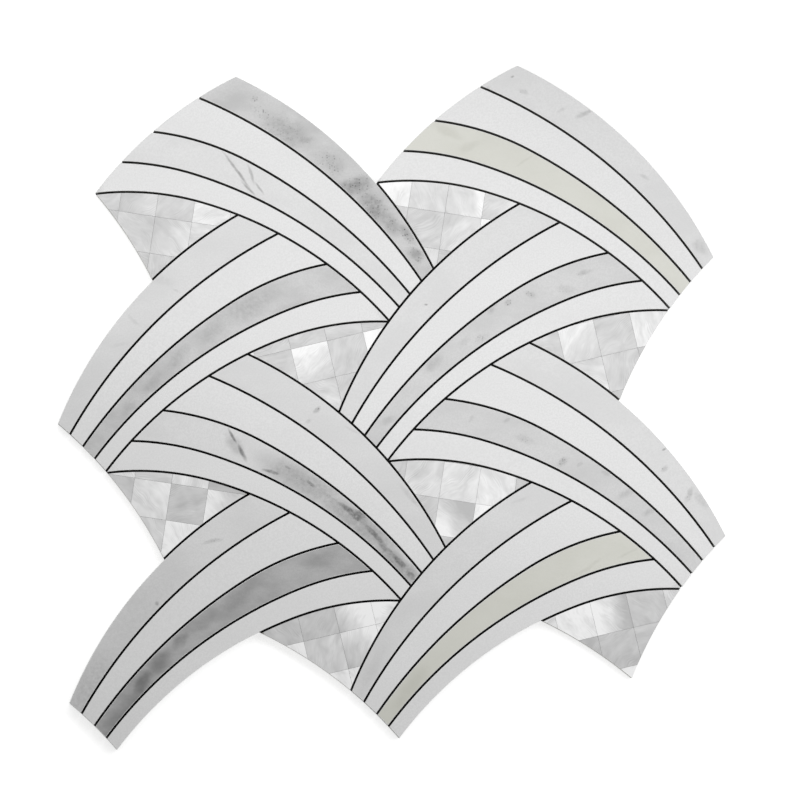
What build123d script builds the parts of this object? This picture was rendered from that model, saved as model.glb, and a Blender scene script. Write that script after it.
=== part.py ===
from build123d import *
import os
from math import atan2, cos, degrees, dist, radians, sin

# Waterjet mosaic sheet of interlocking fans, in mm. Each fan is four curved marble strips,
# and a three-cornered inlay of mother-of-pearl chips fills the hollow under it.
# Left fans have their wide end on the left. Right fans are their mirror image, half a repeat
# lower. X runs across the sheet, Y up the pattern and Z up through the thickness.

# The pattern repeats
repeat_width = 152.4
repeat_height = 150.8
columns = 2
rows = 2

# Section through the sheet
stone_thickness = 9.5
shell_thickness = 2.0
mesh_thickness = 0.5
joint = 1.2
mesh_margin = 2.0

# Strip widths, outermost strip first: along the wide end, and along the narrow end
wide_end_widths = (24.0, 31.1, 23.7, 22.8)
narrow_end_widths = (9.5, 9.1, 10.8)

# Curves of the joint lines between strips. Each one starts at the wide end, rises above its
# chord by the angle given, follows a crown arc and runs out in one flatter arc.
crown_radius = 144.5
outer_rise = 12.3
strip_rises = (16.84, 26.06, 26.37)
strip_crowns = (0.0, 54.6, 40.9)
inner_rise = 30.18
inner_crown = 56.7

# Where the tips of a fan lie beside the meeting points of the pattern
outer_hub_gap = (1.0, 0.9)
inner_tip_reach = (2.6, 0.4)

# Square shell chips, laid in rows that slope down from the wide end of the fan.
# Each lay is the distance of the nearest chip joints along and across the rows. A sliver
# smaller than a square of the smallest chip breaks away and is left out.
chip_size = 20.0
chip_joint = 0.1
chip_row_slope = 11.0
smallest_chip = 1.4
left_chip_lays = ((12.5, 12.4), (17.3, 9.0), (14.0, 19.2), (8.4, 4.1))
right_chip_lays = ((13.2, 17.2), (0.2, 3.9), (14.2, 10.2), (8.7, 5.4))

# Working allowance: cutting outlines run on past the edges that trim them
overrun = 16.0

STRIP_NAMES = ("outer_strip", "wide_strip", "inlay_strip", "inner_strip")
UP = (0, 0, 1)


class JointLine:
    """Centre line of a joint, made of arcs that bend to the right from the wide end on."""

    def __init__(self, start, end, rise, crown_length=0.0, run_on=0.0):
        self.start = start
        self.heading = bearing(start, end) + rise
        self.arcs = []
        point = start
        heading = self.heading
        if crown_length:
            crown_turn = degrees(crown_length / crown_radius)
            self.arcs.append((crown_radius, crown_turn))
            point = arc_end(start, heading, crown_radius, crown_turn)
            heading -= crown_turn
        half_turn = heading - bearing(point, end)
        sweep_radius = dist(point, end) / (2 * sin(radians(half_turn)))
        self.arcs.append((sweep_radius, 2 * half_turn))
        self.run_on_turn = degrees(run_on / sweep_radius)

    def edges(self, shift=0.0):
        """Edges of the line moved to its right, with a straight run at both ends."""
        ahead = Vector(1, 0).rotate(Axis.Z, self.heading)
        start = Vector(*self.start) + ahead.rotate(Axis.Z, -90) * shift
        edges = [Line(start - ahead * overrun, start)]
        last = len(self.arcs) - 1
        for index, (radius, turn) in enumerate(self.arcs):
            if index == last:
                turn += self.run_on_turn
            edges.append(JernArc(edges[-1] @ 1, edges[-1] % 1, radius - shift, -turn))
        tip = edges[-1] @ 1
        edges.append(Line(tip, tip + (edges[-1] % 1) * overrun))
        return edges

    def point_before_end(self, distance):
        """Point on the line at a distance back from its end."""
        lengths = [radius * radians(turn) for radius, turn in self.arcs]
        remaining = sum(lengths) - distance
        point = self.start
        heading = self.heading
        for (radius, turn), length in zip(self.arcs, lengths):
            step = min(remaining, length)
            step_turn = degrees(step / radius)
            point = arc_end(point, heading, radius, step_turn)
            heading -= step_turn
            remaining -= step
        return point


def bearing(start, end):
    """Direction from one point to another, in degrees."""
    return degrees(atan2(end[1] - start[1], end[0] - start[0]))


def arc_end(start, heading, radius, turn):
    """End of an arc that leaves a point along a heading and bends to the right."""
    first = radians(heading)
    last = radians(heading - turn)
    return (
        start[0] + radius * (sin(first) - sin(last)),
        start[1] - radius * (cos(first) - cos(last)),
    )


def above_left(point):
    """Point of a left fan carried to the right fan that borders its wide end."""
    return (repeat_width - point[0], point[1] + repeat_height / 2)


def beside_right(point):
    """Point of a left fan carried to the right fan that borders its narrow end."""
    return (2 * repeat_width - point[0], point[1] - repeat_height / 2)


def mirrored(shape):
    """Shape of a left fan turned into that of the right fan below it."""
    return Pos(repeat_width, -repeat_height / 2) * mirror(shape, Plane.YZ)


def joint_lines():
    """Joint lines of one left fan, from its outer edge to its inner edge."""
    hub = (repeat_width - outer_hub_gap[0], -outer_hub_gap[1])
    inner_tip = (repeat_width + inner_tip_reach[0], -repeat_height / 2 - inner_tip_reach[1])
    inner = JointLine((0, 0), inner_tip, inner_rise, inner_crown)

    wide_ends = []
    for count in range(len(wide_end_widths)):
        reach = sum(wide_end_widths[count:])
        wide_ends.append(above_left(inner.point_before_end(reach)))

    outer = JointLine(wide_ends[0], hub, outer_rise, run_on=repeat_width / 2)
    lines = [outer]
    for count, rise in enumerate(strip_rises):
        reach = sum(narrow_end_widths[count:])
        narrow_end = beside_right(outer.point_before_end(reach))
        lines.append(JointLine(wide_ends[count + 1], narrow_end, rise, strip_crowns[count]))
    lines.append(inner)
    return lines


def band(outer_line, inner_line, clearance):
    """Untrimmed face between two joint lines, drawn in from both by a clearance."""
    outer_edges = outer_line.edges(clearance)
    inner_edges = inner_line.edges(-clearance)
    ends = [
        Line(inner_edges[0] @ 0, outer_edges[0] @ 0),
        Line(inner_edges[-1] @ 1, outer_edges[-1] @ 1),
    ]
    return make_face(outer_edges + inner_edges + ends)


def largest(shape):
    """Largest separate face of a flat shape."""
    return shape.faces().sort_by(SortBy.AREA)[-1]


def trimmed(outer_line, inner_line, clearance):
    """Face between two joint lines, cut off by the two fans that border its ends."""
    fan = mirrored(band(LINES[0], LINES[-1], -clearance))
    face = band(outer_line, inner_line, clearance)
    face -= Pos(0, repeat_height) * fan
    face -= Pos(repeat_width, 0) * fan
    return largest(face)


def hollow(clearance):
    """Three-cornered face under a left fan, between it and the two fans below."""
    left_fan = band(LINES[0], LINES[-1], -clearance)
    blank = Pos(repeat_width / 4, -repeat_height / 6) * Rectangle(repeat_width * 0.7, repeat_height * 0.6)
    blank -= left_fan
    blank -= Pos(-repeat_width, 0) * left_fan
    blank -= mirrored(left_fan)
    return largest(blank)


def cut_stone(face, thickness):
    """Plate cut square through from slab, standing on the mesh."""
    return Pos(0, 0, mesh_thickness) * extrude(face, amount=thickness, dir=UP)


def shell_chips(face, lay):
    """Chips that cover a hollow, cut to its outline, with hairline joints between them."""
    reach = face.bounding_box().diagonal
    crossings = int(reach / chip_size) + 1
    cover = face
    for step in range(-crossings, crossings + 1):
        crossing = Rot(0, 0, -chip_row_slope) * Pos(lay[0] + step * chip_size, lay[1] + step * chip_size)
        cover -= crossing * Rectangle(chip_joint, 2 * reach)
        cover -= crossing * Rectangle(2 * reach, chip_joint)
    chips = []
    for chip_face in cover.faces():
        if chip_face.area > smallest_chip**2:
            chips.append(extrude(chip_face, amount=shell_thickness, dir=UP))
    return Pos(0, 0, mesh_thickness + stone_thickness - shell_thickness) * Compound(chips)


def backing_mesh():
    """Mesh under the whole sheet, trimmed inside the outline of the stone."""
    growth = joint / 2 + mesh_margin
    fan = trimmed(LINES[0], LINES[-1], -growth)
    infill = hollow(-growth)
    cells = [fan, infill, mirrored(fan), mirrored(infill)]
    middle = Pos(columns * repeat_width / 2, -rows * repeat_height / 2)
    sheet = middle * Rectangle((columns + 1) * repeat_width, (rows + 1) * repeat_height)
    for row in range(-1, rows + 1):
        for column in range(-1, columns + 1):
            if 0 <= row < rows and 0 <= column < columns:
                continue
            for cell in cells:
                sheet -= Pos(column * repeat_width, -row * repeat_height) * cell
    return extrude(largest(sheet), amount=mesh_thickness, dir=UP)


def build_sheet():
    """Every piece of the sheet by name, in the pattern's own frame."""
    half_joint = joint / 2
    strips = []
    for outer_line, inner_line in zip(LINES, LINES[1:]):
        strips.append(cut_stone(trimmed(outer_line, inner_line, half_joint), stone_thickness))
    pearl_face = hollow(half_joint)
    backer = cut_stone(pearl_face, stone_thickness - shell_thickness)

    pieces = {"backing_mesh": backing_mesh()}
    for row in range(rows):
        for column in range(columns):
            index = row * columns + column
            place = Pos(column * repeat_width, -row * repeat_height)
            left_chips = shell_chips(pearl_face, left_chip_lays[index % len(left_chip_lays)])
            right_chips = shell_chips(pearl_face, right_chip_lays[index % len(right_chip_lays)])
            for name, strip in zip(STRIP_NAMES, strips):
                pieces[f"left_fan_{index + 1}_{name}"] = place * strip
                pieces[f"right_fan_{index + 1}_{name}"] = place * mirrored(strip)
            pieces[f"left_inlay_{index + 1}_chips"] = place * left_chips
            pieces[f"right_inlay_{index + 1}_chips"] = place * mirrored(right_chips)
            pieces[f"left_inlay_{index + 1}_backer"] = place * backer
            pieces[f"right_inlay_{index + 1}_backer"] = place * mirrored(backer)
    return pieces


LINES = joint_lines()
sheet_pieces = build_sheet()
sheet_box = Compound(list(sheet_pieces.values())).bounding_box()
to_origin = Pos(-sheet_box.center().X, -sheet_box.center().Y, -sheet_box.min.Z)

os.makedirs("parts", exist_ok=True)
for node, piece in sheet_pieces.items():
    export_step(to_origin * piece, f"parts/{node}.step")
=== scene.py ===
"""Looks of a waterjet mosaic sheet: marble fans with shell inlays, on fibreglass mesh."""
from __future__ import annotations

import logging
import math
import random
from dataclasses import dataclass
from enum import Enum

import bmesh
import bpy
from bpy.types import Material, Mesh, Node, NodeOutputs, NodeSocket, NodeTree, Object
from mathutils import Euler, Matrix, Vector


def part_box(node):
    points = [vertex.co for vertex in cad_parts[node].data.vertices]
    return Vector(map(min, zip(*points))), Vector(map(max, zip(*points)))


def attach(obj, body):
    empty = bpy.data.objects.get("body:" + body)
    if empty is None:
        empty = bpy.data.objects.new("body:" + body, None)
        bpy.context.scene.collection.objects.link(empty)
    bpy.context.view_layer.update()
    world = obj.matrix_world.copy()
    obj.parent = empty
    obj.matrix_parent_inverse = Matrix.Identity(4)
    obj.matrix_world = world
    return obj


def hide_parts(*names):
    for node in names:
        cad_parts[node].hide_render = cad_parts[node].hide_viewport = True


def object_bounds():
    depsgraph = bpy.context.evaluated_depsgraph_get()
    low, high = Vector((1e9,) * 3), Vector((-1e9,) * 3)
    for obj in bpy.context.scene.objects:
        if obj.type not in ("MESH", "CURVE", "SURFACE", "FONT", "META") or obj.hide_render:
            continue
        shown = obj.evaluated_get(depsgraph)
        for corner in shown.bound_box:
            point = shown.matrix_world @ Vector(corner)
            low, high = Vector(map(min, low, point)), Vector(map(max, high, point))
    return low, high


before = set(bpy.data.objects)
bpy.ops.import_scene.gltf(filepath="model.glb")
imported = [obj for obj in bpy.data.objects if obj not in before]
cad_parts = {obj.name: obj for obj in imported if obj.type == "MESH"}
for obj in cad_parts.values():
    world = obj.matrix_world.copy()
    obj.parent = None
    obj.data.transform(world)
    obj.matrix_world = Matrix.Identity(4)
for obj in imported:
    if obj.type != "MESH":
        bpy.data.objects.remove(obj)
CAD_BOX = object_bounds()

LOG = logging.getLogger("mosaic")
MM = 0.001
ROOT = "root"
CHIP_MM = 20.0
SAME_PLACE = 1e-6
FLAT_ANGLE = math.radians(0.05)
SHARP_ANGLE = math.radians(20)
WALL_SLOPE = 0.5

# The photograph's frame: where its middle falls on the sheet in mm, its pixels to the mm and its turn
PICTURE_SIZE = 800
PICTURE_SCALE = 1.852
PICTURE_TURN = math.radians(2.42)
PICTURE_MIDDLE = (6.03, 1.95)

# Sizes of the stone's texture, in mm. Real crystals are finer, and are drawn as coarse as they need to show.
GRAIN_MM = 0.9
SPECK_MM = 1.3
WANDER_MM = 8.0
WANDER_REACH_MM = 6.0
FINE_REACH_MM = 0.8
BREAK_MM = 2.2
CUT_DRAG_MM = 0.8
RELIEF_MM = 0.05
GRIT_MM = 0.1

# Shares, turns and stretches of the textures, and what light meets on stone and shell
REACH_SHARE = 0.6
BLOT_CORE = 0.2
BEDDING_TURN = (0.0, 0.0, math.radians(35))
BEDDING_SMEAR = (0.55, 1.0, 1.0)
CUT_STRETCH = (1.0, 1.0, 0.12)
PATCH_STRETCH = (0.45, 1.0, 1.0)
STREAK_STRETCH = (0.14, 1.0, 1.0)
POLISH_ROUGHNESS = 0.22
CUT_ROUGHNESS = 0.75
RELIEF_STRENGTH = 0.12
GRIT_STRENGTH = 0.2
NOISE_ROUGHNESS = 0.6
MARBLE_IOR = 1.5
SHELL_IOR = 1.55

# Colours that all the stones share
SPECK_COLOUR = "#525252"
# Cut walls and back: real drag lines, in a grey painted darker than the stone as shade
SHADED_WALL_DARK = "#A5A5A2"
SHADED_WALL_LIGHT = "#C2C2BF"
# Arris colour: partly the chalky bruise of a cut edge, partly painted highlight
ARRIS_CHALK_AND_HIGHLIGHT = "#F2F2F2"

# Stretches of a noise, a distance or a slope over which a pattern fades in
CLOUD_FADE = {"From Min": 0.35, "From Max": 0.7}
CRYSTAL_FADE = {"From Min": 0.35, "From Max": 0.65}
CRUMB_FADE = {"From Min": 0.3, "From Max": 0.65}
SPECK_FADE = {"From Min": 0.42, "From Max": 0.15}
SPECK_CHOICE = {"From Min": 0.25, "From Max": 0.55}
FACE_FADE = {"From Min": 0.2, "From Max": 0.6}
ARRIS_FADE = {"From Min": 0.97, "From Max": 0.93}
DRAG_FADE = {"From Min": 0.3, "From Max": 0.75}
GRIT_FADE = {"From Min": 0.3, "From Max": 0.7}
RIPPLE_FADE = {"From Min": 0.5, "From Max": 0.7}
BLOT_FADE = {"From Min": 1.0, "From Max": BLOT_CORE}

# Settings that nodes share
SMOOTHLY = {"interpolation_type": "SMOOTHSTEP"}
IN_COLOUR = {"data_type": "RGBA"}

# Distance between the bands of a wave texture at a scale of 1
WAVE_SPACING = 0.314

# The middle of a noise, which is taken off where the noise pushes both ways
MIDDLE = 0.5
MIDDLE_VECTOR = (MIDDLE, MIDDLE, MIDDLE)

# What can feed a node's socket
Feed = Node | NodeSocket


def linear(colour: str) -> tuple[float, float, float, float]:
    """Turns an sRGB hex colour to linear.

    Args:
        colour: Six hex digits after a hash.

    Returns:
        Linear red, green and blue, and an opacity of 1.
    """
    channels = []
    for start in (1, 3, 5):
        value = int(colour[start:start + 2], 16) / 255
        channels.append(value / 12.92 if value <= 0.04045 else ((value + 0.055) / 1.055) ** 2.4)
    return (*channels, 1.0)


def on_sheet(px: float, py: float) -> tuple[float, float]:
    """Gives the place on the sheet that a pixel of the photograph shows.

    Args:
        px: Pixels from the left edge.
        py: Pixels from the top edge.

    Returns:
        X and Y in metres.
    """
    across = (px - PICTURE_SIZE / 2) / PICTURE_SCALE
    up = (PICTURE_SIZE / 2 - py) / PICTURE_SCALE
    cosine = math.cos(PICTURE_TURN)
    sine = math.sin(PICTURE_TURN)
    x = across * cosine + up * sine + PICTURE_MIDDLE[0]
    y = up * cosine - across * sine + PICTURE_MIDDLE[1]
    return x * MM, y * MM


def heading(degrees: float) -> Vector:
    """Gives the unit vector that points along an angle from the sheet's X axis."""
    return Vector((math.cos(math.radians(degrees)), math.sin(math.radians(degrees))))


def add_node(tree: NodeTree, kind: str, inputs: dict | None = None, **settings: object) -> Node:
    """Adds a node with its settings, values and links.

    Args:
        tree: Tree that gets the node.
        kind: Blender's name for the node type, without ShaderNode where it starts with that.
        inputs: Socket name or number to a value, to a hex colour, to an output socket that feeds it, or to a
            node whose first output in use feeds it.
        **settings: Properties of the node.

    Returns:
        The new node.
    """
    node = tree.nodes.new(kind if "Node" in kind else f"ShaderNode{kind}")
    for name, value in settings.items():
        setattr(node, name, value)
    for socket, value in (inputs or {}).items():
        if isinstance(value, Node):
            value = next(output for output in value.outputs if output.enabled)
        if isinstance(value, NodeSocket):
            tree.links.new(value, node.inputs[socket])
        else:
            node.inputs[socket].default_value = linear(value) if isinstance(value, str) else value
    return node


def lumps(place: Feed, size_mm: float, detail: float) -> dict:
    """Gives the inputs of a noise whose lumps are about a size in millimetres across."""
    return {"Vector": place, "Scale": 1 / (size_mm * MM), "Detail": detail, "Roughness": NOISE_ROUGHNESS}


def new_material(name: str) -> tuple[Material, NodeTree]:
    """Starts a material.

    Args:
        name: Real material and finish.

    Returns:
        The material and its empty tree.
    """
    material = bpy.data.materials.new(name)
    material.use_nodes = True
    material.node_tree.nodes.clear()
    return material, material.node_tree


def whole_copy(node: str, name: str) -> Object:
    """Copies a CAD node as one clean mesh, its triangles joined into flat faces.

    Args:
        node: Name in the frame.
        name: Name of the copy.

    Returns:
        The copy, linked to the scene.
    """
    mesh = bpy.data.meshes.new(name)
    work = bmesh.new()
    work.from_mesh(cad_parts[node].data)
    bmesh.ops.remove_doubles(work, verts=work.verts, dist=SAME_PLACE)
    bmesh.ops.dissolve_limit(work, angle_limit=FLAT_ANGLE, verts=work.verts, edges=work.edges)
    for face in work.faces:
        face.smooth = True
    work.to_mesh(mesh)
    work.free()
    piece = bpy.data.objects.new(name, mesh)
    bpy.context.scene.collection.objects.link(piece)
    return piece


def dress(piece: Object, node: str, material: Material) -> None:
    """Gives a piece its material and puts it in the place of a CAD node.

    Args:
        piece: The piece.
        node: Name in the frame of the node that it stands for.
        material: Its material.
    """
    piece.data.set_sharp_from_angle(angle=SHARP_ANGLE)
    piece.data.materials.clear()
    piece.data.materials.append(material)
    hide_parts(node)
    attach(piece, ROOT)


@dataclass(frozen=True)
class Blot:
    """A vein, cloud or smudge in the stone: an oval whose edge wanders.

    Attributes:
        px, py: Middle, in pixels of the photograph.
        length: Long axis in mm.
        width: Short axis in mm.
        turn: Degrees from the sheet's X axis to the long axis.
        depth: How dark it is, up to 1.
        dots: Share of fine dark specks sprinkled over it.
    """

    px: float
    py: float
    length: float
    width: float
    turn: float
    depth: float
    dots: float = 0.0

    def mask(self, tree: NodeTree, place: Feed, drift: Feed) -> Node:
        """Draws the oval.

        Args:
            tree: Material's tree.
            place: Place on the sheet.
            drift: Noise, about 0, by which the oval's edge wanders.

        Returns:
            Node of the oval, 1 in its middle and 0 outside.
        """
        # A thin vein keeps to its course more closely than a broad cloud
        reach = min(WANDER_REACH_MM, FINE_REACH_MM + self.width * REACH_SHARE) * MM
        wander = {0: drift, 1: (reach, reach, reach), 2: place}
        moved = add_node(tree, "VectorMath", wander, operation="MULTIPLY_ADD")
        oval = {
            "Vector": moved,
            "Location": (*on_sheet(self.px, self.py), 0.0),
            "Rotation": (0.0, 0.0, math.radians(self.turn)),
            "Scale": (self.length * MM / 2, self.width * MM / 2, 1.0),
        }
        mapping = add_node(tree, "Mapping", oval, vector_type="TEXTURE")
        distance = add_node(tree, "VectorMath", {0: mapping}, operation="LENGTH")
        return add_node(tree, "MapRange", {"Value": distance} | BLOT_FADE, **SMOOTHLY)


@dataclass(frozen=True)
class MarbleFinish:
    """Marble slab, polished on its face, frosted and painted darker as shade where the waterjet cut it.

    Attributes:
        label: Name of the stone and its finish.
        light: Ground colour.
        dark: Colour of the clouds.
        vein: Colour of the veins.
        cloud_mm: Size of the clouds.
        cloudiness: Share of the dark colour in the clouds.
        grain: Strength of the crystal grain.
        broken: How much the veins break up, from 0, smooth, to 1.
    """

    label: str
    light: str
    dark: str
    vein: str
    cloud_mm: float
    cloudiness: float
    grain: float
    broken: float

    def material(self, name: str, offset: float, blots: tuple[Blot, ...]) -> Material:
        """Builds the material of one piece.

        Args:
            name: Piece that it is for.
            offset: How far along the slab, in mm, the piece was cut.
            blots: Veins and clouds that lie on the piece.

        Returns:
            The material.
        """
        material, tree = new_material(f"{self.label}_{name}")
        place = add_node(tree, "TexCoord").outputs["Object"]
        cut_at = (offset * MM, 0.0, offset * MM)
        slab = add_node(tree, "VectorMath", {0: place, 1: cut_at}, operation="ADD")
        colour = self.ground(tree, slab)
        if blots:
            colour = self.veins(tree, slab, place, colour, blots)
        # Waterjet-cut walls and the sawn back are frosted: rougher and less glossy than the polished face.
        # The arris between them is painted lighter: a chalky bruise, and a painted highlight.
        normal = add_node(tree, "NewGeometry").outputs["Normal"]
        facing = add_node(tree, "SeparateXYZ", {0: normal}).outputs["Z"]
        face = add_node(tree, "MapRange", {"Value": facing} | FACE_FADE, **SMOOTHLY)
        # Their darker grey is painted shade; the drag lines in it are real
        cut = add_node(tree, "Mapping", {"Vector": place, "Scale": CUT_STRETCH})
        drag = add_node(tree, "TexNoise", lumps(cut, CUT_DRAG_MM, 3.0))
        frost = add_node(tree, "MapRange", {"Value": drag} | DRAG_FADE, **SMOOTHLY)
        frost_and_painted_shade = add_node(tree, "Mix", {0: frost, 6: SHADED_WALL_DARK, 7: SHADED_WALL_LIGHT}, **IN_COLOUR)
        chalk_and_highlight = add_node(tree, "MapRange", {"Value": facing} | ARRIS_FADE, **SMOOTHLY)
        colour = add_node(tree, "Mix", {0: chalk_and_highlight, 6: colour, 7: ARRIS_CHALK_AND_HIGHLIGHT}, **IN_COLOUR)
        colour = add_node(tree, "Mix", {0: face, 6: frost_and_painted_shade, 7: colour}, **IN_COLOUR)
        polish = {"Value": face, "To Min": CUT_ROUGHNESS, "To Max": POLISH_ROUGHNESS}
        rough = add_node(tree, "MapRange", polish)
        crystals = add_node(tree, "TexNoise", lumps(slab, GRAIN_MM, 2.0))
        height = add_node(tree, "Mix", {0: face, 6: drag, 7: crystals}, **IN_COLOUR)
        relief = {"Height": height, "Strength": RELIEF_STRENGTH, "Distance": RELIEF_MM * MM}
        bump = add_node(tree, "Bump", relief)
        surface = {"Base Color": colour, "Roughness": rough, "IOR": MARBLE_IOR, "Normal": bump}
        shader = add_node(tree, "BsdfPrincipled", surface)
        add_node(tree, "OutputMaterial", {"Surface": shader})
        return material

    def ground(self, tree: NodeTree, slab: Feed) -> Node:
        """Draws the clouded, grained ground of the stone.

        Args:
            tree: Material's tree.
            slab: Place on the slab.

        Returns:
            Node of the colour.
        """
        smear = {"Vector": slab, "Rotation": BEDDING_TURN, "Scale": BEDDING_SMEAR}
        bedding = add_node(tree, "Mapping", smear)
        colour = self.light
        patterns = (
            (lumps(bedding, self.cloud_mm, 4.0), CLOUD_FADE, self.cloudiness),
            (lumps(slab, GRAIN_MM, 3.0), CRYSTAL_FADE, self.grain),
        )
        for pattern, fade, strength in patterns:
            spots = add_node(tree, "TexNoise", pattern)
            share = add_node(tree, "MapRange", {"Value": spots, "To Max": strength} | fade, **SMOOTHLY)
            colour = add_node(tree, "Mix", {0: share, 6: colour, 7: self.dark}, **IN_COLOUR)
        return colour

    def veins(self, tree: NodeTree, slab: Feed, place: Feed, colour: Feed, blots: tuple[Blot, ...]) -> Node:
        """Lays the piece's own veins, clouds and specks over its ground.

        Args:
            tree: Material's tree.
            slab: Place on the slab.
            place: Place on the sheet.
            colour: Ground colour.
            blots: Veins and clouds.

        Returns:
            Node of the colour.
        """
        drift = add_node(tree, "TexNoise", lumps(slab, WANDER_MM, 5.0)).outputs["Color"]
        drift = add_node(tree, "VectorMath", {0: drift, 1: MIDDLE_VECTOR}, operation="SUBTRACT")
        shade = 0.0
        dots = 0.0
        for blot in blots:
            mask = blot.mask(tree, place, drift)
            deep = add_node(tree, "Math", {0: mask, 1: blot.depth}, operation="MULTIPLY")
            shade = add_node(tree, "Math", {0: shade, 1: deep}, operation="MAXIMUM")
            if blot.dots:
                dotted = add_node(tree, "Math", {0: mask, 1: blot.dots}, operation="MULTIPLY")
                dots = add_node(tree, "Math", {0: dots, 1: dotted}, operation="MAXIMUM")
        crumbs = add_node(tree, "TexNoise", lumps(slab, BREAK_MM, 4.0))
        whole = {"Value": crumbs, "To Min": 1.0 - self.broken, "To Max": 1.0} | CRUMB_FADE
        left = add_node(tree, "MapRange", whole)
        share = add_node(tree, "Math", {0: shade, 1: left}, operation="MULTIPLY")
        colour = add_node(tree, "Mix", {0: share, 6: colour, 7: self.vein}, **IN_COLOUR)
        if not any(blot.dots for blot in blots):
            return colour
        cells = add_node(tree, "TexVoronoi", {"Vector": slab, "Scale": 1 / (SPECK_MM * MM)})
        draw = add_node(tree, "SeparateColor", {0: cells.outputs["Color"]}).outputs["Red"]
        chosen = add_node(tree, "MapRange", {"Value": draw, "To Max": dots} | SPECK_CHOICE, **SMOOTHLY)
        near = {"Value": cells.outputs["Distance"], "To Max": chosen} | SPECK_FADE
        share = add_node(tree, "MapRange", near, **SMOOTHLY)
        return add_node(tree, "Mix", {0: share, 6: colour, 7: SPECK_COLOUR}, **IN_COLOUR)


class Stone(Enum):
    """The marbles that the strips are cut from."""

    # White crystalline marble: an even, cold white with a fine sugary grain
    WHITE = MarbleFinish("polished_white_marble", "#E9E9E9", "#DFDFDF", "#C8C8C8", 30.0, 0.35, 0.8, 0.5)
    # Pale veined marble: off-white with faint grey clouds
    PALE = MarbleFinish("polished_pale_veined_marble", "#E1E1E1", "#D4D4D4", "#7E7E7E", 22.0, 0.6, 0.55, 0.6)
    # Streaked marble: the pale stone where a dark vein runs through it
    STREAKED = MarbleFinish("polished_streaked_marble", "#E3E3E3", "#D4D4D4", "#4C4C4C", 22.0, 0.6, 0.5, 0.35)
    # Misty veined marble: the pale stone where its clouds close up
    MISTY = MarbleFinish(
        "polished_misty_veined_marble", "#D7D7D7", "#C5C5C5", "#747474", 20.0, 0.7, 0.45, 0.6
    )
    # Grey veined marble: soft mid-grey clouds that smear along the slab
    GREY = MarbleFinish("polished_grey_veined_marble", "#D2D2D2", "#B6B6B6", "#666666", 18.0, 0.8, 0.3, 0.5)
    # Dark veined marble: the same stone from the heart of a vein
    DARK = MarbleFinish("polished_dark_veined_marble", "#BCBCBC", "#999999", "#4A4A4A", 16.0, 0.8, 0.2, 0.2)
    # Cream marble: faintly green, close-grained and almost even
    CREAM = MarbleFinish("polished_cream_marble", "#D8D8D0", "#CECEC5", "#B9B9AE", 26.0, 0.6, 0.15, 0.3)


@dataclass
class MarbleFan:
    """One fan of four marble strips.

    Attributes:
        name: Fan's name in the frame.
        outer: Stone of the outer strip.
        inlay: Stone of the inlay strip.
        slab: How far along the slab, in mm, its strips were cut.
        outer_blots: Veins on the outer strip.
        inlay_blots: Veins on the inlay strip.
        strip_step: Distance in mm from one strip to the next on the slab.
        arris: Width in mm of the eased top edge.
    """

    name: str
    outer: Stone
    inlay: Stone
    slab: float
    outer_blots: tuple[Blot, ...] = ()
    inlay_blots: tuple[Blot, ...] = ()
    strip_step: float = 60.0
    arris: float = 0.2

    def build(self) -> None:
        """Cuts the four strips and dresses each one in its stone."""
        plan = {
            "outer_strip": (self.outer, self.outer_blots, "grey_veined_marble"),
            "wide_strip": (Stone.WHITE, (), "white_marble"),
            "inlay_strip": (self.inlay, self.inlay_blots, "grey_veined_marble"),
            "inner_strip": (Stone.WHITE, (), "white_marble"),
        }
        for count, (strip, (stone, blots, slot)) in enumerate(plan.items()):
            node = f"{self.name}_{strip}"
            material = stone.value.material(node, self.slab + self.strip_step * count, blots)
            dress(self.ease(node), node, material)
            LOG.info("strip %s in %s", node, stone.name.lower())

    def ease(self, node: str) -> Object:
        """Copies a strip with the sharp edge of its polished face just taken off.

        Args:
            node: Strip's name in the frame.

        Returns:
            The copy, at the strip's own place.
        """
        piece = whole_copy(node, f"{node}_stone")
        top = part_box(node)[1].z
        work = bmesh.new()
        work.from_mesh(piece.data)
        rim = [edge for edge in work.edges if all(abs(vert.co.z - top) < SAME_PLACE for vert in edge.verts)]
        easing = {"offset": self.arris * MM, "segments": 2, "profile": 0.5, "affect": "EDGES"}
        bmesh.ops.bevel(work, geom=rim, clamp_overlap=True, **easing)
        work.to_mesh(piece.data)
        work.free()
        return piece


class Nacre(Enum):
    """Painted sheen and own tone of a shell chip: the share of the bright colour in its ground."""

    BRIGHT = 0.93
    PALE = 0.6
    SOFT = 0.4
    DIM = 0.22
    DULL = 0.1


@dataclass(frozen=True)
class Chip:
    """Look of one shell chip.

    Attributes:
        px, py: A point on it, in pixels of the photograph.
        nacre: How bright it is.
        growth: Degrees from the sheet's X axis to its growth lines.
        fade: How much brighter its painted sheen grows over a chip's width.
        toward: Degrees from the sheet's X axis to where its painted sheen grows brighter.
    """

    px: float
    py: float
    nacre: Nacre
    growth: float
    fade: float = 0.0
    toward: float = 0.0


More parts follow.
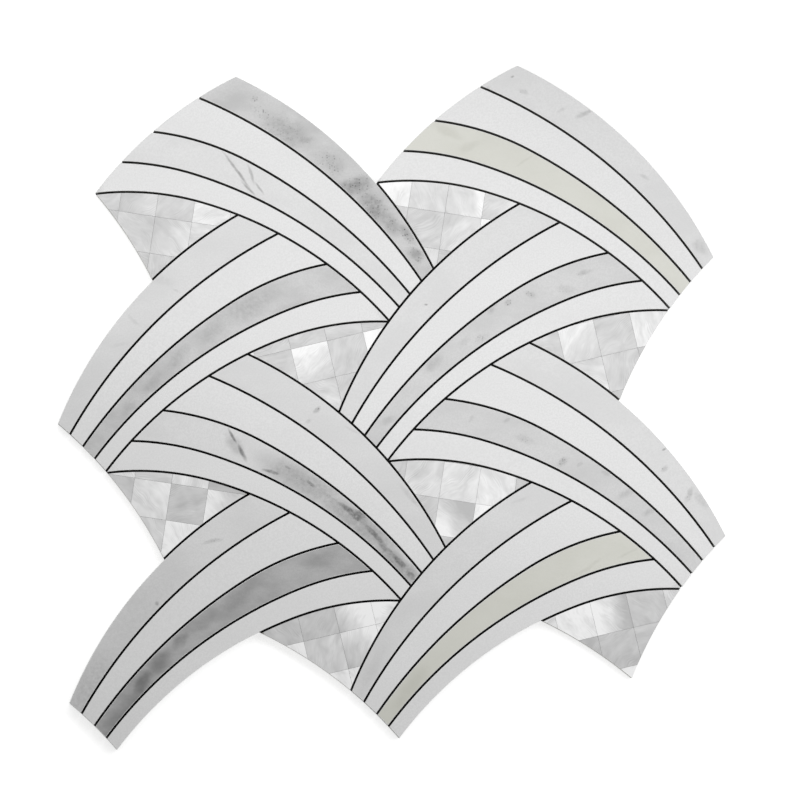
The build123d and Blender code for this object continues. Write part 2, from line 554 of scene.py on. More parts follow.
@dataclass(frozen=True)
class ShellFinish:
    """Mother-of-pearl, ground flat and polished: silky, curving growth lines under a clear gloss.

    Attributes:
        label: Name of the material and its finish.
        bright: Colour painted where the nacre catches the light: partly its tone, partly painted sheen.
        dull: Colour where it turns away.
        cloud_mm: Size of its soft patches.
        silk_mm: Width of its silky streaks.
        line_mm: Distance between growth lines, drawn coarser than on real shell so that they show.
        line_patch_mm: Size of the patches where growth lines show.
        bend_mm: How far the growth lines curve.
        bend_every_mm: Distance over which they curve.
        cloud_weight, silk_weight, line_weight: How much each of these sways the tone.
        gain: How strongly the figure shows in the dullest and the brightest nacre.
        roughness: Roughness of its polish.
        relief: Strength of its silky relief.
    """

    label: str = "polished_mother_of_pearl"
    bright: str = "#FFFFFF"
    dull: str = "#C0C0C0"
    cloud_mm: float = 6.0
    silk_mm: float = 1.5
    line_mm: float = 1.1
    line_patch_mm: float = 5.0
    bend_mm: float = 9.0
    bend_every_mm: float = 14.0
    cloud_weight: float = 1.3
    silk_weight: float = 0.4
    line_weight: float = 0.3
    gain: tuple[float, float] = (0.45, 1.15)
    roughness: float = 0.2
    relief: float = 0.08

    def material(self) -> Material:
        """Builds the material, which reads each chip's own tone and its growth lines' direction.

        Returns:
            The material.
        """
        material, tree = new_material(self.label)
        tone = add_node(tree, "Attribute", attribute_name="chip_tone").outputs["Fac"]
        cloud, silk, ripple = self.figure(tree)
        sway = 0.0
        weights = ((cloud, self.cloud_weight), (silk, self.silk_weight), (ripple, self.line_weight))
        for part, weight in weights:
            sway = add_node(tree, "Math", {0: part, 1: weight, 2: sway}, operation="MULTIPLY_ADD")
        # Brighter nacre shows its figure more strongly
        gains = {"Value": tone, "To Min": self.gain[0], "To Max": self.gain[1]}
        gain = add_node(tree, "MapRange", gains)
        lit = add_node(tree, "Math", {0: sway, 1: gain, 2: tone}, operation="MULTIPLY_ADD")
        # The chip's tone and figure paint its sheen into the base colour
        colour = add_node(tree, "Mix", {0: lit, 6: self.dull, 7: self.bright}, **IN_COLOUR)
        relief = {"Height": silk, "Strength": self.relief, "Distance": RELIEF_MM * MM}
        bump = add_node(tree, "Bump", relief)
        surface = {"Base Color": colour, "Roughness": self.roughness, "IOR": SHELL_IOR, "Normal": bump}
        shader = add_node(tree, "BsdfPrincipled", surface)
        add_node(tree, "OutputMaterial", {"Surface": shader})
        return material

    def figure(self, tree: NodeTree) -> tuple[Node, Node, Node]:
        """Draws the nacre's figure along its curving growth.

        Args:
            tree: Material's tree.

        Returns:
            Nodes of the soft clouds, the silky streaks and the growth lines, each about 0.
        """
        growth = add_node(tree, "UVMap", uv_map="growth")
        bend = add_node(tree, "TexNoise", lumps(growth, self.bend_every_mm, 1.0)).outputs["Color"]
        bend = add_node(tree, "VectorMath", {0: bend, 1: MIDDLE_VECTOR}, operation="SUBTRACT")
        course = {0: bend, 1: (self.bend_mm * MM,) * 3, 2: growth}
        curved = add_node(tree, "VectorMath", course, operation="MULTIPLY_ADD")
        patch = add_node(tree, "Mapping", {"Vector": curved, "Scale": PATCH_STRETCH})
        streak = add_node(tree, "Mapping", {"Vector": curved, "Scale": STREAK_STRETCH})
        cloud = add_node(tree, "TexNoise", lumps(patch, self.cloud_mm, 2.0))
        cloud = add_node(tree, "Math", {0: cloud, 1: MIDDLE}, operation="SUBTRACT")
        silk = add_node(tree, "TexNoise", lumps(streak, self.silk_mm, 3.0))
        silk = add_node(tree, "Math", {0: silk, 1: MIDDLE}, operation="SUBTRACT")
        scale = WAVE_SPACING / (self.line_mm * MM)
        bands = {"Vector": curved, "Scale": scale, "Distortion": 3.0, "Detail": 2.0, "Detail Scale": 0.5}
        lines = add_node(tree, "TexWave", bands, bands_direction="Y").outputs["Fac"]
        lines = add_node(tree, "Math", {0: lines, 1: MIDDLE}, operation="SUBTRACT")
        where = add_node(tree, "TexNoise", lumps(patch, self.line_patch_mm, 1.0))
        where = add_node(tree, "MapRange", {"Value": where} | RIPPLE_FADE, **SMOOTHLY)
        ripple = add_node(tree, "Math", {0: lines, 1: where}, operation="MULTIPLY")
        return cloud, silk, ripple


@dataclass
class ShellInlay:
    """One three-cornered inlay of shell chips on its backer.

    Attributes:
        name: Inlay's name in the frame.
        seed: Seed of the chips that have no look of their own.
        chips: Looks of the chips that stand out.
    """

    name: str
    seed: int
    chips: tuple[Chip, ...] = ()

    def build(self, shell: Material, backer: Material) -> None:
        """Dresses the chips and their backer.

        Args:
            shell: Material of the chips.
            backer: Material of the backer.
        """
        node = f"{self.name}_chips"
        piece = whole_copy(node, f"{self.name}_shell")
        self.lay_chips(piece.data)
        dress(piece, node, shell)
        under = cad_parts[f"{self.name}_backer"].data
        under.materials.clear()
        under.materials.append(backer)
        LOG.info("inlay %s", self.name)

    def lay_chips(self, mesh: Mesh) -> None:
        """Gives each chip its tone and turns its texture along its growth lines.

        Args:
            mesh: All the chips of the inlay.
        """
        chance = random.Random(self.seed)
        work = bmesh.new()
        work.from_mesh(mesh)
        tones = work.loops.layers.float.new("chip_tone")
        growths = work.loops.layers.uv.new("growth")
        for chip in islands(work):
            corners = [vert.co for face in chip for vert in face.verts]
            middle = sum(corners, Vector()) / len(corners)
            look = self.look_of(chip)
            if look is None:
                look = Chip(0.0, 0.0, chance.choice(list(Nacre)), chance.uniform(0.0, 180.0))
            shift = Vector((chance.uniform(0.0, 1.0), chance.uniform(0.0, 1.0)))
            along = heading(look.growth)
            brighter = heading(look.toward)
            for face in chip:
                for loop in face.loops:
                    flat = (loop.vert.co - middle).xy
                    loop[growths].uv = Vector((flat.dot(along), flat.cross(along))) + shift
                    loop[tones] = look.nacre.value + look.fade * flat.dot(brighter) / (CHIP_MM * MM)
        work.to_mesh(mesh)
        work.free()

    def look_of(self, chip: list[bmesh.types.BMFace]) -> Chip | None:
        """Finds the look of the chip whose face holds its point.

        Args:
            chip: Faces of one chip.

        Returns:
            The look, or None where the chip has none of its own.
        """
        top = max(chip, key=lambda face: face.calc_center_median().z)
        corners = [vert.co.xy for vert in top.verts]
        for look in self.chips:
            x, y = on_sheet(look.px, look.py)
            crossings = 0
            for first, second in zip(corners, corners[1:] + corners[:1]):
                if (first.y > y) != (second.y > y):
                    share = (y - first.y) / (second.y - first.y)
                    crossings += first.x + share * (second.x - first.x) > x
            if crossings % 2:
                return look
        return None


def islands(work: bmesh.types.BMesh) -> list[list[bmesh.types.BMFace]]:
    """Groups a mesh's faces into its separate solids.

    Args:
        work: The mesh.

    Returns:
        Faces of each solid, in the order of their first face.
    """
    seen: set[int] = set()
    groups = []
    work.faces.ensure_lookup_table()
    work.faces.index_update()
    for start in work.faces:
        if start.index in seen:
            continue
        seen.add(start.index)
        group = [start]
        for face in group:
            for edge in face.edges:
                for other in edge.link_faces:
                    if other.index not in seen:
                        seen.add(other.index)
                        group.append(other)
        groups.append(group)
    return groups


@dataclass(frozen=True)
class MattFinish:
    """Matt, mottled finish of a piece under the polished face.

    Attributes:
        label: Name of the material and its finish.
        dark: Colour of its hollows.
        light: Colour of its lumps.
        lump_mm: Size of its lumps.
        roughness: Roughness of its surface.
        detail: How many times finer lumps are added.
        gritty: Whether the lumps stand out, in colour and in relief.
    """

    label: str
    dark: str
    light: str
    lump_mm: float
    roughness: float
    detail: float = 2.0
    gritty: bool = False

    def material(self) -> Material:
        """Builds the material.

        Returns:
            The material.
        """
        material, tree = new_material(self.label)
        place = add_node(tree, "TexCoord").outputs["Object"]
        height = add_node(tree, "TexNoise", lumps(place, self.lump_mm, self.detail))
        share = height
        surface = {"Roughness": self.roughness}
        if self.gritty:
            share = add_node(tree, "MapRange", {"Value": height} | GRIT_FADE, **SMOOTHLY)
            relief = {"Height": height, "Strength": GRIT_STRENGTH, "Distance": GRIT_MM * MM}
            surface["Normal"] = add_node(tree, "Bump", relief)
        surface["Base Color"] = add_node(tree, "Mix", {0: share, 6: self.dark, 7: self.light}, **IN_COLOUR)
        shader = add_node(tree, "BsdfPrincipled", surface)
        add_node(tree, "OutputMaterial", {"Surface": shader})
        return material


class Matt(Enum):
    """The matt finishes of the pieces under the polished face."""

    # Fibreglass yarn dipped in resin: off-white, with the faint twist of its filaments
    YARN = MattFinish("resin_dipped_fibreglass_yarn", "#B8B8B2", "#E2E2DC", 0.4, 0.55)
    # Polymer adhesive, cured matt; its near-black is painted shade, the black line in every joint
    ADHESIVE = MattFinish("matt_adhesive_painted_as_joint_shade", "#161616", "#222221", 1.5, 0.7)
    # Unglazed ceramic, pressed and fired: matt, pale buff and faintly gritty
    BACKER = MattFinish("unglazed_pressed_ceramic", "#C4C2BC", "#D6D4CF", 0.7, 0.85, 3.0, True)


@dataclass
class BackingMesh:
    """Woven fibreglass mesh under the sheet, bonded to the stone by adhesive painted black as joint shade.

    Attributes:
        spacing: Distance between yarns in mm.
        width: Width of a yarn in mm.
        thickness: Thickness of a yarn in mm.
        wave: How far a yarn rises and dips at the crossings, in mm.
        film: Share of the mesh's thickness, from the top, that the adhesive fills.
        spread: How far the adhesive reaches past the mesh in mm, to just inside the stone's edge.
        node: Mesh's name in the frame.
        slot: Its material slot in the record; not used.
    """

    spacing: float = 5.0
    width: float = 1.1
    thickness: float = 0.14
    wave: float = 0.07
    film: float = 0.4
    spread: float = 1.9
    node: str = "backing_mesh"
    slot: str = "fibreglass_mesh"

    def build(self) -> None:
        """Spreads the adhesive and weaves the mesh under it."""
        self.spread_film()
        self.lay_yarns()

    def spread_film(self) -> None:
        """Spreads the adhesive over the upper part of the mesh's thickness and out to the stone's edge."""
        piece = whole_copy(self.node, "adhesive_film")
        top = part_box(self.node)[1].z
        work = bmesh.new()
        work.from_mesh(piece.data)
        for vert in work.verts:
            walls = [face.normal for face in vert.link_faces if abs(face.normal.z) < WALL_SLOPE]
            outward = sum(walls, Vector()).normalized()
            vert.co += outward * self.spread * MM / outward.dot(walls[0])
            vert.co.z = top - (top - vert.co.z) * self.film
        work.to_mesh(piece.data)
        work.free()
        # The adhesive's near-black is painted shade, the dark line at the foot of every joint
        dress(piece, self.node, Matt.ADHESIVE.value.material())
        LOG.info("adhesive film")

    def lay_yarns(self) -> None:
        """Weaves the yarns, trims them to the sheet and lays them under the adhesive."""
        tree = self.weave()
        piece = bpy.data.objects.new("backing_mesh_yarns", bpy.data.meshes.new("backing_mesh_yarns"))
        bpy.context.scene.collection.objects.link(piece)
        modifier = piece.modifiers.new("weave", "NODES")
        modifier.node_group = tree
        low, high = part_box(self.node)
        # An odd number of yarns, one of them in the middle, that runs past the sheet on both sides
        span = max(high.x - low.x, high.y - low.y)
        yarns = 2 * int(span / 2 / (self.spacing * MM)) + 3
        sizes = {
            "Outline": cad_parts[self.node],
            "Spacing": self.spacing * MM,
            "Yarns": yarns,
            "Width": self.width * MM,
            "Thickness": self.thickness * MM,
            "Wave": self.wave * MM,
            "Height": low.z + (high.z - low.z) * (1.0 - self.film) / 2,
            "Yarn": Matt.YARN.value.material(),
        }
        for socket in tree.interface.items_tree:
            if socket.in_out == "INPUT":
                modifier[socket.identifier] = sizes[socket.name]
        graph = bpy.context.evaluated_depsgraph_get()
        woven = bpy.data.meshes.new_from_object(piece.evaluated_get(graph), depsgraph=graph)
        piece.modifiers.remove(modifier)
        piece.data = woven
        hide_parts(self.node)
        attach(piece, ROOT)
        LOG.info("backing mesh of %d faces", len(woven.polygons))

    def weave(self) -> NodeTree:
        """Makes the node tree that weaves two sets of yarns and trims them to an outline.

        Returns:
            The tree.
        """
        tree = bpy.data.node_groups.new("plain_weave", "GeometryNodeTree")
        kinds = {"Outline": "Object", "Yarns": "Int", "Yarn": "Material"}
        for name in ("Outline", "Spacing", "Yarns", "Width", "Thickness", "Wave", "Height", "Yarn"):
            kind = kinds.get(name, "Float")
            tree.interface.new_socket(name, in_out="INPUT", socket_type=f"NodeSocket{kind}")
        tree.interface.new_socket("Geometry", in_out="OUTPUT", socket_type="NodeSocketGeometry")
        given = add_node(tree, "NodeGroupInput").outputs
        sheet = add_node(tree, "GeometryNodeObjectInfo", {"Object": given["Outline"]}).outputs["Geometry"]
        section = add_node(tree, "CombineXYZ", {"X": given["Width"], "Y": given["Thickness"], "Z": 1.0})
        profile = add_node(tree, "GeometryNodeCurvePrimitiveCircle", {"Resolution": 4, "Radius": 0.5})
        profile = add_node(tree, "GeometryNodeTransform", {"Geometry": profile, "Scale": section})
        joined = add_node(tree, "GeometryNodeJoinGeometry")
        for quarter_turns in (0, 1):
            yarns = self.yarn_set(tree, given, quarter_turns)
            curves = add_node(tree, "GeometryNodeMeshToCurve", {"Mesh": self.trim(tree, yarns, sheet)})
            upright = add_node(tree, "GeometryNodeSetCurveNormal", {"Curve": curves}, mode="Z_UP")
            sweep = {"Curve": upright, "Profile Curve": profile, "Fill Caps": True}
            solid = add_node(tree, "GeometryNodeCurveToMesh", sweep)
            tree.links.new(solid.outputs["Mesh"], joined.inputs["Geometry"])
        real = add_node(tree, "GeometryNodeRealizeInstances", {"Geometry": joined})
        dressed = add_node(tree, "GeometryNodeSetMaterial", {"Geometry": real, "Material": given["Yarn"]})
        add_node(tree, "NodeGroupOutput", {"Geometry": dressed})
        return tree

    def yarn_set(self, tree: NodeTree, given: NodeOutputs, quarter_turns: int) -> Node:
        """Lays one set of parallel yarns, rising and dipping at the crossings.

        Args:
            tree: The weave's tree.
            given: The tree's inputs.
            quarter_turns: 0 for yarns along X, 1 for yarns along Y.

        Returns:
            Node of the yarns as lines of points.
        """
        spacing = given["Spacing"]
        count = given["Yarns"]
        half_step = add_node(tree, "Math", {0: spacing, 1: 0.5}, operation="MULTIPLY")
        points = add_node(tree, "Math", {0: count, 1: 2.0, 2: -1.0}, operation="MULTIPLY_ADD")
        before = add_node(tree, "Math", {0: count, 1: -1.0, 2: 1.0}, operation="MULTIPLY_ADD")
        start = add_node(tree, "Math", {0: before, 1: half_step}, operation="MULTIPLY")
        # A yarn has a point at each crossing and one between. The row holds the places of the yarns.
        yarn_and_row = []
        for number, begin, stride in (
            (points, {"X": start}, {"X": half_step}),
            (count, {"Y": start, "Z": given["Height"]}, {"Y": spacing}),
        ):
            first = add_node(tree, "CombineXYZ", begin)
            step = add_node(tree, "CombineXYZ", stride)
            line = {"Count": number, "Start Location": first, "Offset": step}
            yarn_and_row.append(add_node(tree, "GeometryNodeMeshLine", line))
        yarn, row = yarn_and_row
        placed = add_node(tree, "GeometryNodeInstanceOnPoints", {"Points": row, "Instance": yarn})
        lines = add_node(tree, "GeometryNodeRealizeInstances", {"Geometry": placed})
        position = add_node(tree, "GeometryNodeInputPosition")
        place = add_node(tree, "SeparateXYZ", {0: position}).outputs
        # A yarn goes over one crossing and under the next, where the other set does the opposite
        rise = place["X"]
        for operation, other in (
            ("ADD", place["Y"]),
            ("DIVIDE", spacing),
            ("MULTIPLY", math.pi),
            ("COSINE", 0.0),
            ("MULTIPLY", given["Wave"]),
            ("MULTIPLY", 1.0 if quarter_turns else -1.0),
        ):
            rise = add_node(tree, "Math", {0: rise, 1: other}, operation=operation)
        offset = add_node(tree, "CombineXYZ", {"Z": rise})
        waved = add_node(tree, "GeometryNodeSetPosition", {"Geometry": lines, "Offset": offset})
        turn = (0.0, 0.0, quarter_turns * math.pi / 2)
        return add_node(tree, "GeometryNodeTransform", {"Geometry": waved, "Rotation": turn})

    def trim(self, tree: NodeTree, yarns: Feed, sheet: Feed) -> Node:
        """Drops the points of the yarns that don't lie over the sheet.

        Args:
            tree: The weave's tree.
            yarns: The yarns.
            sheet: The sheet's solid.

        Returns:
            Node of the trimmed yarns.
        """
        place = add_node(tree, "GeometryNodeInputPosition")
        above = add_node(tree, "VectorMath", {0: place, 1: (0.0, 0.0, 1.0)}, operation="ADD")
        down = (0.0, 0.0, -1.0)
        ray = {"Target Geometry": sheet, "Source Position": above, "Ray Direction": down, "Ray Length": 2.0}
        hit = add_node(tree, "GeometryNodeRaycast", ray).outputs["Is Hit"]
        outside = add_node(tree, "FunctionNodeBooleanMath", {0: hit}, operation="NOT")
        trimmed = {"Geometry": yarns, "Selection": outside}
        return add_node(tree, "GeometryNodeDeleteGeometry", trimmed, domain="POINT")


@dataclass
class Studio:
    """Pale floor, soft light and the camera almost straight above the sheet.

    Attributes:
        camera_height: Metres from the sheet's face to the camera.
        camera_lean: Degrees about X and Y that the camera leans from straight down, to see the near walls.
        camera_reach: How far the camera sees, in metres.
        sensor: Sensor width in mm.
        floor_size: Side of the floor in metres.
        floor_drop: How far the floor lies under the sheet, in mm.
        floor_lift: How much brighter the floor looks to the camera than it is lit.
        lamp_size: Length and width of the softbox in metres.
        lamp_place: Its place in metres.
        lamp_power: Its power in watts.
        room_light: Strength of the world's light.
    """

    camera_height: float = 6.0
    camera_lean: tuple[float, float] = (2.3, -2.3)
    camera_reach: float = 100.0
    sensor: float = 36.0
    floor_size: float = 30.0
    floor_drop: float = 0.05
    floor_lift: float = 0.6
    lamp_size: tuple[float, float] = (1.0, 0.26)
    lamp_place: tuple[float, float, float] = (0.05, 0.10, 0.43)
    lamp_power: float = 1.75
    room_light: float = 0.4

    def build(self) -> None:
        """Sets up the floor, the light, the world and the camera."""
        self.lay_floor()
        self.hang_lamp()
        self.light_room()
        self.place_camera()
        bpy.context.scene.view_settings.view_transform = "Standard"

    def lay_floor(self) -> None:
        """Lays a pale floor that looks white to the camera and still takes the sheet's shadow."""
        half = self.floor_size / 2
        depth = -self.floor_drop * MM
        mesh = bpy.data.meshes.new("floor")
        corners = [(-half, -half, depth), (half, -half, depth), (half, half, depth), (-half, half, depth)]
        mesh.from_pydata(corners, [], [(0, 1, 2, 3)])
        floor = bpy.data.objects.new("floor", mesh)
        bpy.context.scene.collection.objects.link(floor)
        material, tree = new_material("pale_matt_floor")
        paint = add_node(tree, "BsdfDiffuse", {"Color": "#E8E8E8"})
        path = add_node(tree, "LightPath").outputs
        seen = path["Is Camera Ray"]
        for ray in ("Is Glossy Ray", "Is Transmission Ray"):
            seen = add_node(tree, "Math", {0: seen, 1: path[ray]}, operation="MAXIMUM")
        lift = add_node(tree, "Math", {0: seen, 1: self.floor_lift}, operation="MULTIPLY")
        glow = add_node(tree, "Emission", {"Strength": lift})
        both = add_node(tree, "AddShader", {0: paint, 1: glow})
        add_node(tree, "OutputMaterial", {"Surface": both})
        mesh.materials.append(material)

    def hang_lamp(self) -> None:
        """Hangs a long softbox above the top of the sheet."""
        data = bpy.data.lights.new("long_softbox", "AREA")
        data.shape = "RECTANGLE"
        data.size, data.size_y = self.lamp_size
        data.energy = self.lamp_power
        lamp = bpy.data.objects.new("long_softbox", data)
        lamp.visible_camera = False
        lamp.location = self.lamp_place
        lamp.rotation_euler = (-lamp.location).to_track_quat("-Z", "Y").to_euler()
        bpy.context.scene.collection.objects.link(lamp)

    def light_room(self) -> None:
        """Fills the rest of the light from a plain room that looks white to the camera."""
        world = bpy.data.worlds.new("plain_white_room")
        world.use_nodes = True
        tree = world.node_tree
        tree.nodes.clear()
        room = add_node(tree, "Background", {"Color": "#FFFFFF", "Strength": self.room_light})
        backdrop = add_node(tree, "Background", {"Color": "#FFFFFF", "Strength": 1.0})
        seen = add_node(tree, "LightPath").outputs["Is Camera Ray"]
        mixed = add_node(tree, "MixShader", {0: seen, 1: room, 2: backdrop})
        add_node(tree, "OutputWorld", {"Surface": mixed})
        bpy.context.scene.world = world

    def place_camera(self) -> None:
        """Places the camera above the sheet's lower left, with the photograph's scale and turn."""
        data = bpy.data.cameras.new("camera")
        data.sensor_width = self.sensor
        seen_width = PICTURE_SIZE / PICTURE_SCALE * MM
        data.lens = self.sensor * self.camera_height / seen_width
        data.clip_end = self.camera_reach
        camera = bpy.data.objects.new("camera", data)
        target = Vector((PICTURE_MIDDLE[0] * MM, PICTURE_MIDDLE[1] * MM, CAD_BOX[1].z))
        lean_x, lean_y = (math.radians(angle) for angle in self.camera_lean)
        camera.rotation_euler = Euler((lean_x, lean_y, -PICTURE_TURN))
        camera.location = target + camera.rotation_euler.to_matrix() @ Vector((0.0, 0.0, self.camera_height))
        bpy.context.scene.collection.objects.link(camera)
        bpy.context.scene.camera = camera


# The eight fans, each with the stones and veins that the photograph shows on it
FANS = (
    MarbleFan(
        "left_fan_1", Stone.GREY, Stone.STREAKED, 0.0,
        outer_blots=(
            Blot(254, 99, 6, 4, 0, 0.15, 0.9), Blot(264, 115, 20, 10, -30, 0.1, 0.7),
            Blot(284, 130, 40, 20, -32, 0.42, 0.3), Blot(305, 140, 14, 5, 10, 0.42, 0.6),
            Blot(331, 163, 22, 14, -40, 0.3, 0.7), Blot(354, 186, 28, 14, 15, 0.78, 1.0),
            Blot(374, 206, 30, 16, -50, 0.68, 0.8), Blot(389, 221, 24, 13, -50, 0.52, 0.5),
            Blot(406, 233, 20, 8, -50, 0.5, 1.0), Blot(416, 254, 13, 8, -50, 0.55, 0.8),
        ),
        inlay_blots=(
            Blot(237, 171, 34, 2.3, -56, 0.62), Blot(248, 188, 14, 2.0, -50, 0.6),
            Blot(251, 174, 15, 2.3, -74, 0.45), Blot(259, 188, 11, 2.0, -58, 0.45),
            Blot(232, 162, 16, 5, -52, 0.08),
        ),
    ),
    MarbleFan(
        "left_fan_2", Stone.PALE, Stone.CREAM, 310.0,
        outer_blots=(
            Blot(513, 76, 3, 1.6, 20, 0.6), Blot(524, 91, 8, 4, -20, 0.3, 0.3),
            Blot(488, 87, 5, 3, 30, 0.2, 0.6), Blot(562, 109, 8, 3, 20, 0.2),
            Blot(585, 113, 14, 4, 20, 0.45, 0.2), Blot(645, 176, 9, 3, -30, 0.25),
            Blot(700, 246, 14, 8, -50, 0.35),
        ),
        inlay_blots=(
            Blot(448, 131, 26, 8, -30, 0.4), Blot(468, 147, 18, 7, 25, 0.35),
            Blot(525, 160, 16, 2, 30, 0.3),
        ),
    ),
    MarbleFan(
        "left_fan_3", Stone.PALE, Stone.STREAKED, 620.0,
        outer_blots=(
            Blot(317, 410, 7, 4, 40, 0.55, 0.8), Blot(308, 421, 5, 3, 20, 0.35, 0.5),
            Blot(352, 430, 12, 2, -30, 0.2), Blot(410, 497, 22, 4, -50, 0.25),
        ),
        inlay_blots=(
            Blot(233, 437, 13, 2.4, -66, 0.85), Blot(241, 452, 15, 3.6, -68, 0.85),
            Blot(235, 446, 20, 10, -62, 0.32), Blot(305, 483, 76, 24, -30, 0.42),
            Blot(358, 522, 88, 21, -40, 0.5), Blot(398, 564, 54, 16, -47, 0.58),
            Blot(272, 472, 16, 3.4, -16, 0.75), Blot(284, 472, 26, 8, -22, 0.4, 0.2),
            Blot(288, 468, 8, 3, -30, 0.6), Blot(304, 482, 34, 9, -34, 0.5, 0.2),
            Blot(311, 484, 12, 4, -40, 0.75), Blot(330, 497, 30, 5, -35, 0.5),
            Blot(352, 513, 36, 7, -38, 0.85), Blot(358, 514, 14, 8, -30, 0.9),
            Blot(375, 535, 34, 6, -47, 0.85), Blot(388, 551, 30, 7, -48, 0.75),
            Blot(399, 562, 18, 8, -46, 0.95), Blot(410, 575, 12, 6, -46, 0.8),
        ),
    ),
    MarbleFan(
        "left_fan_4", Stone.PALE, Stone.MISTY, 930.0,
        outer_blots=(
            Blot(664, 449, 3, 1.6, 30, 0.8), Blot(665, 468, 6, 4, 30, 0.4, 0.5),
            Blot(690, 494, 13, 5, 62, 0.4, 0.3), Blot(702, 500, 16, 7, -50, 0.3),
        ),
        inlay_blots=(
            Blot(471, 419, 6, 4, 60, 0.28, 0.4), Blot(507, 420, 6, 3, 30, 0.3),
            Blot(524, 439, 16, 6, -25, 0.25, 0.3), Blot(563, 462, 9, 5, 30, 0.42, 0.5),
            Blot(580, 464, 6, 3, 20, 0.28, 0.3), Blot(606, 473, 8, 3, -30, 0.3),
            Blot(626, 494, 16, 6, 20, 0.3), Blot(650, 511, 12, 4, 25, 0.35),
        ),
    ),
    MarbleFan(
        "right_fan_1", Stone.PALE, Stone.GREY, 1240.0,
        outer_blots=(
            Blot(134, 321, 12, 3, -45, 0.18), Blot(160, 280, 22, 8, -20, 0.14),
            Blot(176, 291, 6, 2, -20, 0.2), Blot(120, 345, 14, 3, 10, 0.12),
        ),
        inlay_blots=(
            Blot(250, 305, 48, 20, 30, 0.36), Blot(212, 330, 32, 14, 40, 0.28),
            Blot(178, 358, 28, 11, 50, 0.28), Blot(152, 384, 22, 9, 50, 0.26),
            Blot(128, 410, 20, 8, 55, 0.16),
        ),
    ),
    MarbleFan(
        "right_fan_2", Stone.PALE, Stone.MISTY, 1550.0,
        outer_blots=(Blot(426, 304, 3, 1.4, 0, 0.8),),
        inlay_blots=(
            Blot(584, 272, 12, 4, 15, 0.38, 0.4), Blot(567, 288, 14, 7, -10, 0.2, 0.3),
            Blot(531, 294, 9, 5, -20, 0.3, 0.5), Blot(508, 303, 6, 4, 30, 0.45, 0.9),
            Blot(493, 308, 10, 5, 40, 0.3, 0.3), Blot(482, 338, 12, 6, 30, 0.18, 0.4),
            Blot(464, 342, 12, 6, 40, 0.18), Blot(434, 363, 18, 8, 45, 0.3),
            Blot(388, 421, 12, 6, 20, 0.28),
        ),
    ),
    MarbleFan(
        "right_fan_3", Stone.PALE, Stone.DARK, 1860.0,
        outer_blots=(
            Blot(212, 542, 16, 3, 12, 0.35, 0.3), Blot(150, 596, 24, 9, 45, 0.16),
            Blot(157, 604, 5, 3.4, 40, 0.6, 0.5), Blot(128, 628, 22, 6, 50, 0.16),
            Blot(140, 615, 120, 40, 50, 0.17), Blot(88, 700, 90, 36, 64, 0.36),
        ),
        inlay_blots=(
            Blot(325, 560, 26, 13, 10, 0.2), Blot(238, 597, 26, 14, 30, 0.32),
            Blot(205, 622, 20, 11, 40, 0.2), Blot(181, 641, 16, 9, 35, 0.42),
            Blot(160, 664, 26, 12, 45, 0.45), Blot(143, 683, 26, 11, 50, 0.6),
            Blot(131, 714, 64, 26, 48, 0.42), Blot(118, 733, 34, 16, 50, 0.6),
        ),
    ),
    MarbleFan(
        "right_fan_4", Stone.PALE, Stone.CREAM, 2170.0,
        outer_blots=(Blot(520, 500, 14, 3, 20, 0.14), Blot(372, 670, 40, 9, 62, 0.12)),
        inlay_blots=(
            Blot(628, 553, 20, 2, 25, 0.3), Blot(590, 566, 24, 3, 30, 0.3),
            Blot(410, 690, 40, 12, 52, 0.35),
        ),
    ),
)

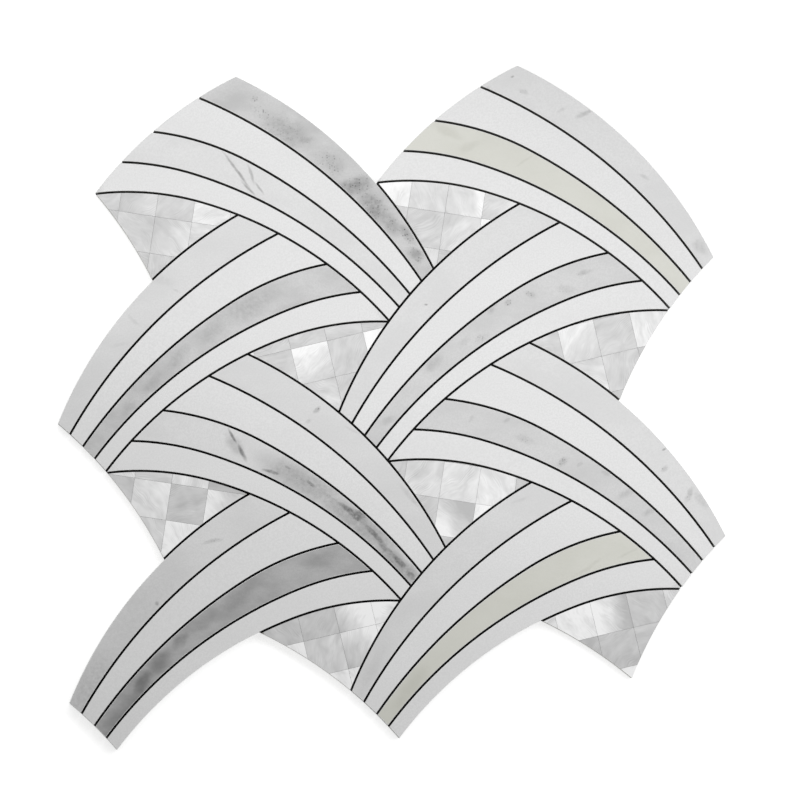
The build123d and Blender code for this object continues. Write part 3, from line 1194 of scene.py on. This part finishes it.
# The eight inlays, each with the chips that stand out in the photograph
INLAYS = (
    ShellInlay("left_inlay_1", 1, (
        Chip(109, 202, Nacre.DIM, 20), Chip(139, 206, Nacre.DIM, 40, 0.35, 0),
        Chip(177, 211, Nacre.DIM, 35), Chip(212, 214, Nacre.PALE, 12, 0.2, 180),
        Chip(137, 227, Nacre.DIM, -45), Chip(174, 237, Nacre.SOFT, -50, 0.5, -30),
        Chip(199, 229, Nacre.SOFT, -10), Chip(154, 261, Nacre.DIM, 80),
    )),
    ShellInlay("left_inlay_2", 2, (
        Chip(399, 194, Nacre.BRIGHT, 60, 0.5, 120), Chip(429, 197, Nacre.SOFT, -75, 0.15, 120),
        Chip(469, 202, Nacre.PALE, -70, 0.5, 0), Chip(497, 205, Nacre.SOFT, 35, 0.2, 0),
        Chip(427, 225, Nacre.DIM, 30), Chip(457, 229, Nacre.SOFT, 40, 0.3, 330),
        Chip(438, 254, Nacre.SOFT, 60),
    )),
    ShellInlay("left_inlay_3", 3, (
        Chip(137, 478, Nacre.SOFT, 0), Chip(191, 484, Nacre.PALE, 88),
        Chip(126, 486, Nacre.DIM, -60), Chip(154, 501, Nacre.PALE, -55, 0.2, 20),
        Chip(189, 505, Nacre.DIM, 5), Chip(219, 501, Nacre.PALE, -60, 0.5, 200),
        Chip(174, 535, Nacre.BRIGHT, -62), Chip(159, 526, Nacre.SOFT, -65),
    )),
    ShellInlay("left_inlay_4", 4, (
        Chip(402, 468, Nacre.DIM, 70), Chip(424, 478, Nacre.SOFT, 40, 0.2, 250),
        Chip(461, 484, Nacre.PALE, 32), Chip(496, 488, Nacre.PALE, -70, 0.2, 250),
        Chip(431, 506, Nacre.DIM, 30), Chip(453, 519, Nacre.PALE, -36, 1.2, 220),
        Chip(484, 509, Nacre.BRIGHT, 40),
    )),
    ShellInlay("right_inlay_1", 5, (
        Chip(283, 360, Nacre.DIM, 20), Chip(308, 340, Nacre.DIM, 15),
        Chip(346, 333, Nacre.DIM, 5), Chip(373, 331, Nacre.BRIGHT, 70),
        Chip(311, 361, Nacre.PALE, 42, 0.7, 130), Chip(346, 358, Nacre.DIM, 80),
        Chip(326, 388, Nacre.SOFT, -18, 0.2, 260), Chip(344, 382, Nacre.DIM, 60),
    )),
    ShellInlay("right_inlay_2", 6, (
        Chip(553, 343, Nacre.DIM, 10), Chip(583, 341, Nacre.PALE, 62, 0.5, 130),
        Chip(618, 336, Nacre.DIM, 40), Chip(645, 328, Nacre.PALE, -75, 0.3, 260),
        Chip(595, 368, Nacre.SOFT, -20, 0.3, 330), Chip(621, 365, Nacre.DIM, 85),
        Chip(636, 355, Nacre.SOFT, -50),
    )),
    ShellInlay("right_inlay_3", 7, (
        Chip(284, 630, Nacre.DIM, -40), Chip(317, 625, Nacre.DIM, 75),
        Chip(326, 649, Nacre.SOFT, 80), Chip(357, 615, Nacre.BRIGHT, 60, 1.2, 45),
        Chip(384, 610, Nacre.BRIGHT, -20, 0.8, 150), Chip(359, 644, Nacre.PALE, 80, 0.8, 60),
        Chip(346, 677, Nacre.BRIGHT, -45), Chip(307, 649, Nacre.DIM, -40),
    )),
    ShellInlay("right_inlay_4", 8, (
        Chip(552, 623, Nacre.PALE, 30), Chip(582, 622, Nacre.BRIGHT, -55),
        Chip(602, 625, Nacre.PALE, -28, 1.3, 190), Chip(652, 607, Nacre.DIM, -35),
        Chip(672, 597, Nacre.SOFT, -60), Chip(624, 650, Nacre.DIM, 35),
        Chip(597, 647, Nacre.DULL, 60), Chip(646, 630, Nacre.DIM, 20),
        Chip(632, 672, Nacre.BRIGHT, 40),
    )),
)


def main() -> None:
    """Builds the sheet's looks and the studio."""
    logging.basicConfig(level=logging.INFO, format="%(name)s: %(message)s")
    for fan in FANS:
        fan.build()
    shell = ShellFinish().material()
    backer = Matt.BACKER.value.material()
    for inlay in INLAYS:
        inlay.build(shell, backer)
    BackingMesh().build()
    Studio().build()


if __name__ == "__main__":
    main()
